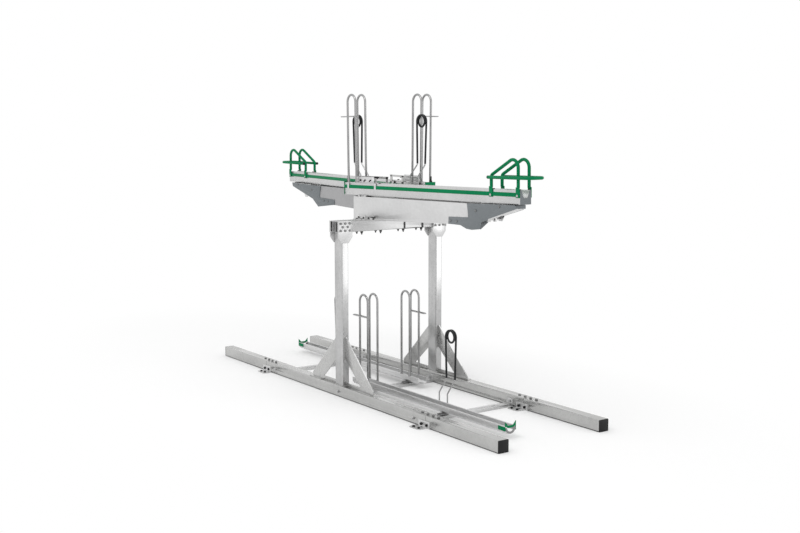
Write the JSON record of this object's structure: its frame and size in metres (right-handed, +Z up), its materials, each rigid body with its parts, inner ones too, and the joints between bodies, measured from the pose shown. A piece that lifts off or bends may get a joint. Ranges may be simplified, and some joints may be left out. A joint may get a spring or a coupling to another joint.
{
  "type": "two tier bike rack",
  "caption": "Free-standing galvanised bicycle rack: sliding and tipping upper trays on columns above fixed lower trays, with wheel hoops and green handles.",
  "frame": {"origin": "on the floor at the centre of the rack, midway between the rails and midway along them", "axes": "+Z up, Y along the floor rails, X along the cross beams"},
  "size_m": [1.06, 3.6176, 2.1589],
  "materials": {
    "galvanised": "bright galvanised",
    "zinc_fixings": "zinc plated",
    "green_coat": "green powder coat",
    "black_fixings": "black oxide",
    "black_plastic": "matt",
    "nose_cover": "darker grey galvanised",
    "clamp_coat": "black coated spring wire",
    "roller_plastic": "matt"
  },
  "bodies": {
    "frame": {"rail_left_centre": "galvanised", "rail_right_centre": "galvanised", "rail_extensions": "galvanised", "rail_end_caps": "black_plastic", "splice_sleeves": "galvanised", "splice_bolts": "zinc_fixings", "cross_bar_front": "galvanised", "cross_bar_middle": "galvanised", "cross_bar_rear": "galvanised", "cross_bar_bolts": "zinc_fixings", "foot_brackets": "galvanised", "foot_bracket_bolts": "black_fixings", "floor_anchors": "black_fixings", "column_left": "galvanised", "column_right": "galvanised", "column_braces": "galvanised", "head_plates": "galvanised", "head_bolts": "zinc_fixings", "cross_beam_front": "galvanised", "cross_beam_rear": "galvanised", "beam_saddles": "black_fixings", "carrier_left": "galvanised", "carrier_right": "galvanised", "carrier_feet": "galvanised", "carrier_bolts": "zinc_fixings", "nose_cover_left": "nose_cover", "nose_cover_right": "nose_cover", "nose_screws": "zinc_fixings", "nose_pins": "zinc_fixings", "strut_cylinders": "black_fixings", "lower_trays": "galvanised", "lower_tray_guides": "green_coat", "lower_hoops": "galvanised", "lower_clamps": "clamp_coat", "lower_tray_bolts": "zinc_fixings"},
    "cradle_left": {"cradle_left": "galvanised", "cradle_lip_left": "nose_cover"},
    "tray_left": {"upper_tray_left": "galvanised", "tray_strips_left": "green_coat", "wheel_base_left": "galvanised", "upper_hoops_left": "galvanised", "upper_clamp_left": "clamp_coat", "handle_left": "green_coat", "handle_plugs_left": "black_plastic"},
    "tray_roller_left": {"tray_roller_left": "roller_plastic"},
    "nose_roller_left": {"nose_roller_left": "roller_plastic"},
    "strut_rod_left": {"strut_rod_left": "zinc_fixings"},
    "cradle_right": {"cradle_right": "galvanised", "cradle_lip_right": "nose_cover"},
    "tray_right": {"upper_tray_right": "galvanised", "tray_strips_right": "green_coat", "wheel_base_right": "galvanised", "upper_hoops_right": "galvanised", "upper_clamp_right": "clamp_coat", "handle_right": "green_coat", "handle_plugs_right": "black_plastic"},
    "tray_roller_right": {"tray_roller_right": "roller_plastic"},
    "nose_roller_right": {"nose_roller_right": "roller_plastic"},
    "strut_rod_right": {"strut_rod_right": "zinc_fixings"}
  },
  "joints": [
    {"name": "cradle_tip_left", "type": "hinge", "parent": "frame", "child": "cradle_left", "pos_m": [-0.181, -1.4, 1.395], "axis": [1, 0, 0], "range_deg": [0, 35]},
    {"name": "tray_slide_left", "type": "slide", "parent": "cradle_left", "child": "tray_left", "axis": [0, -0.9999, 0.0144], "range_m": [0, 1.23]},
    {"name": "tray_roller_spin_left", "type": "hinge", "parent": "tray_left", "child": "tray_roller_left", "pos_m": [-0.181, 0.0797, 1.41585], "axis": [1, 0, 0], "continuous": true},
    {"name": "nose_roller_spin_left", "type": "hinge", "parent": "cradle_left", "child": "nose_roller_left", "pos_m": [-0.181, -1.6, 1.44569], "axis": [1, 0, 0], "continuous": true},
    {"name": "strut_slide_left", "type": "slide", "parent": "frame", "child": "strut_rod_left", "axis": [0, 1, 0], "range_m": [0, 0.0267]},
    {"name": "cradle_tip_right", "type": "hinge", "parent": "frame", "child": "cradle_right", "pos_m": [0.181, 1.4, 1.395], "axis": [-1, 0, 0], "range_deg": [0, 35]},
    {"name": "tray_slide_right", "type": "slide", "parent": "cradle_right", "child": "tray_right", "axis": [0, 0.9999, 0.0144], "range_m": [0, 1.23]},
    {"name": "tray_roller_spin_right", "type": "hinge", "parent": "tray_right", "child": "tray_roller_right", "pos_m": [0.181, -0.0797, 1.41585], "axis": [-1, 0, 0], "continuous": true},
    {"name": "nose_roller_spin_right", "type": "hinge", "parent": "cradle_right", "child": "nose_roller_right", "pos_m": [0.181, 1.6, 1.44569], "axis": [-1, 0, 0], "continuous": true},
    {"name": "strut_slide_right", "type": "slide", "parent": "frame", "child": "strut_rod_right", "axis": [0, -1, 0], "range_m": [0, 0.0267]}
  ],
  "couplings": [
    {"joint": "tray_roller_spin_left", "follows": "tray_slide_left", "rad_per_m": 62.5},
    {"joint": "nose_roller_spin_left", "follows": "tray_slide_left", "rad_per_m": 71.429},
    {"joint": "strut_slide_left", "follows": "cradle_tip_left", "m_per_rad": 0.043319},
    {"joint": "tray_roller_spin_right", "follows": "tray_slide_right", "rad_per_m": 62.5},
    {"joint": "nose_roller_spin_right", "follows": "tray_slide_right", "rad_per_m": 71.429},
    {"joint": "strut_slide_right", "follows": "cradle_tip_right", "m_per_rad": 0.043319}
  ]
}
